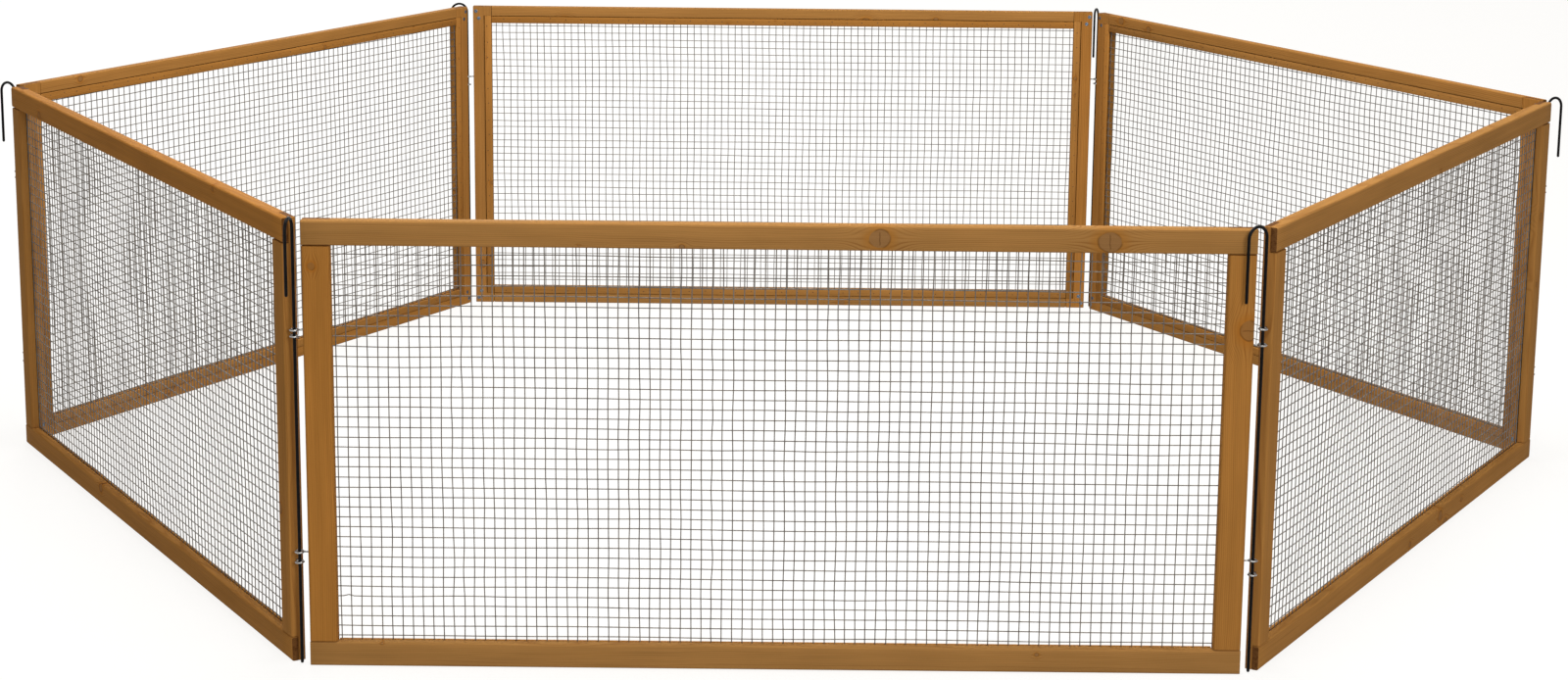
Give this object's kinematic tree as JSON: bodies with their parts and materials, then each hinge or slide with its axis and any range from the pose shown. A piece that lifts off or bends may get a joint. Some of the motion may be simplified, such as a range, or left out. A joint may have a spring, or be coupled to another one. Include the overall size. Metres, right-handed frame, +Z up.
{
  "type": "rabbit run",
  "caption": "Free-standing hexagonal garden run for rabbits: wood-framed wire-mesh panels hinged at the corners by screw eyes and lift-out hooked rods.",
  "frame": {"origin": "on the ground at the middle of the run", "axes": "+Z up, -Y the way the front panel faces, +X to the right seen from the front"},
  "size_m": [2.399, 2.093, 0.5675],
  "materials": {
    "stained_softwood": "honey-brown stain, matt, sawn and planed softwood with knots",
    "galvanised_wire": "dull galvanised welded wire, slightly wavy",
    "zinc_plated_steel": "bright bluish zinc plating",
    "black_painted_steel": "satin black paint"
  },
  "bodies": {
    "front_panel": {"front_panel_top_rail": "stained_softwood", "front_panel_bottom_rail": "stained_softwood", "front_panel_left_stile": "stained_softwood", "front_panel_right_stile": "stained_softwood", "front_panel_wire_mesh": "galvanised_wire", "front_panel_left_lower_eye": "zinc_plated_steel", "front_panel_left_upper_eye": "zinc_plated_steel", "front_panel_right_lower_eye": "zinc_plated_steel", "front_panel_right_upper_eye": "zinc_plated_steel"},
    "front_right_panel": {"front_right_panel_top_rail": "stained_softwood", "front_right_panel_bottom_rail": "stained_softwood", "front_right_panel_left_stile": "stained_softwood", "front_right_panel_right_stile": "stained_softwood", "front_right_panel_wire_mesh": "galvanised_wire", "front_right_panel_left_lower_eye": "zinc_plated_steel", "front_right_panel_left_upper_eye": "zinc_plated_steel", "front_right_panel_right_lower_eye": "zinc_plated_steel", "front_right_panel_right_upper_eye": "zinc_plated_steel"},
    "rear_right_panel": {"rear_right_panel_top_rail": "stained_softwood", "rear_right_panel_bottom_rail": "stained_softwood", "rear_right_panel_left_stile": "stained_softwood", "rear_right_panel_right_stile": "stained_softwood", "rear_right_panel_wire_mesh": "galvanised_wire", "rear_right_panel_left_lower_eye": "zinc_plated_steel", "rear_right_panel_left_upper_eye": "zinc_plated_steel", "rear_right_panel_right_lower_eye": "zinc_plated_steel", "rear_right_panel_right_upper_eye": "zinc_plated_steel"},
    "rear_panel": {"rear_panel_top_rail": "stained_softwood", "rear_panel_bottom_rail": "stained_softwood", "rear_panel_left_stile": "stained_softwood", "rear_panel_right_stile": "stained_softwood", "rear_panel_wire_mesh": "galvanised_wire", "rear_panel_left_lower_eye": "zinc_plated_steel", "rear_panel_left_upper_eye": "zinc_plated_steel", "rear_panel_right_lower_eye": "zinc_plated_steel", "rear_panel_right_upper_eye": "zinc_plated_steel"},
    "rear_left_panel": {"rear_left_panel_top_rail": "stained_softwood", "rear_left_panel_bottom_rail": "stained_softwood", "rear_left_panel_left_stile": "stained_softwood", "rear_left_panel_right_stile": "stained_softwood", "rear_left_panel_wire_mesh": "galvanised_wire", "rear_left_panel_left_lower_eye": "zinc_plated_steel", "rear_left_panel_left_upper_eye": "zinc_plated_steel", "rear_left_panel_right_lower_eye": "zinc_plated_steel", "rear_left_panel_right_upper_eye": "zinc_plated_steel"},
    "front_left_panel": {"front_left_panel_top_rail": "stained_softwood", "front_left_panel_bottom_rail": "stained_softwood", "front_left_panel_left_stile": "stained_softwood", "front_left_panel_right_stile": "stained_softwood", "front_left_panel_wire_mesh": "galvanised_wire", "front_left_panel_left_lower_eye": "zinc_plated_steel", "front_left_panel_left_upper_eye": "zinc_plated_steel", "front_left_panel_right_lower_eye": "zinc_plated_steel", "front_left_panel_right_upper_eye": "zinc_plated_steel"},
    "front_left_rod": {"rod_front_left": "black_painted_steel"},
    "front_right_rod": {"rod_front_right": "black_painted_steel"},
    "right_rod": {"rod_right": "black_painted_steel"},
    "rear_right_rod": {"rod_rear_right": "black_painted_steel"},
    "rear_left_rod": {"rod_rear_left": "black_painted_steel"},
    "left_rod": {"rod_left": "black_painted_steel"}
  },
  "joints": [
    {"name": "front_left_corner_hinge", "type": "hinge", "parent": "front_panel", "child": "front_left_panel", "pos_m": [-0.5865, -1.01585, 0], "axis": [0, 0, 1], "range_deg": [-30, 20]},
    {"name": "left_corner_hinge", "type": "hinge", "parent": "front_left_panel", "child": "rear_left_panel", "pos_m": [-1.173, 0, 0], "axis": [0, 0, 1], "range_deg": [-40, 60]},
    {"name": "front_right_corner_hinge", "type": "hinge", "parent": "front_panel", "child": "front_right_panel", "pos_m": [0.5865, -1.01585, 0], "axis": [0, 0, -1], "range_deg": [-30, 20]},
    {"name": "right_corner_hinge", "type": "hinge", "parent": "front_right_panel", "child": "rear_right_panel", "pos_m": [1.173, 0, 0], "axis": [0, 0, -1], "range_deg": [-40, 60]},
    {"name": "rear_right_corner_hinge", "type": "hinge", "parent": "rear_right_panel", "child": "rear_panel", "pos_m": [0.5865, 1.01585, 0], "axis": [0, 0, -1], "range_deg": [-30, 20]},
    {"name": "front_left_rod_lift", "type": "slide", "parent": "front_panel", "child": "front_left_rod", "axis": [0, 0, 1], "range_m": [0, 0.45]},
    {"name": "front_right_rod_lift", "type": "slide", "parent": "front_panel", "child": "front_right_rod", "axis": [0, 0, 1], "range_m": [0, 0.45]},
    {"name": "right_rod_lift", "type": "slide", "parent": "rear_right_panel", "child": "right_rod", "axis": [0, 0, 1], "range_m": [0, 0.45]},
    {"name": "rear_right_rod_lift", "type": "slide", "parent": "rear_panel", "child": "rear_right_rod", "axis": [0, 0, 1], "range_m": [0, 0.45]},
    {"name": "rear_left_rod_lift", "type": "slide", "parent": "rear_left_panel", "child": "rear_left_rod", "axis": [0, 0, 1], "range_m": [0, 0.45]},
    {"name": "left_rod_lift", "type": "slide", "parent": "rear_left_panel", "child": "left_rod", "axis": [0, 0, 1], "range_m": [0, 0.45]}
  ],
  "couplings": [
    {"joint": "left_corner_hinge", "follows": "front_left_corner_hinge", "ratio": -2},
    {"joint": "front_right_corner_hinge", "follows": "front_left_corner_hinge", "ratio": 1},
    {"joint": "right_corner_hinge", "follows": "front_left_corner_hinge", "ratio": -2},
    {"joint": "rear_right_corner_hinge", "follows": "front_left_corner_hinge", "ratio": 1}
  ]
}
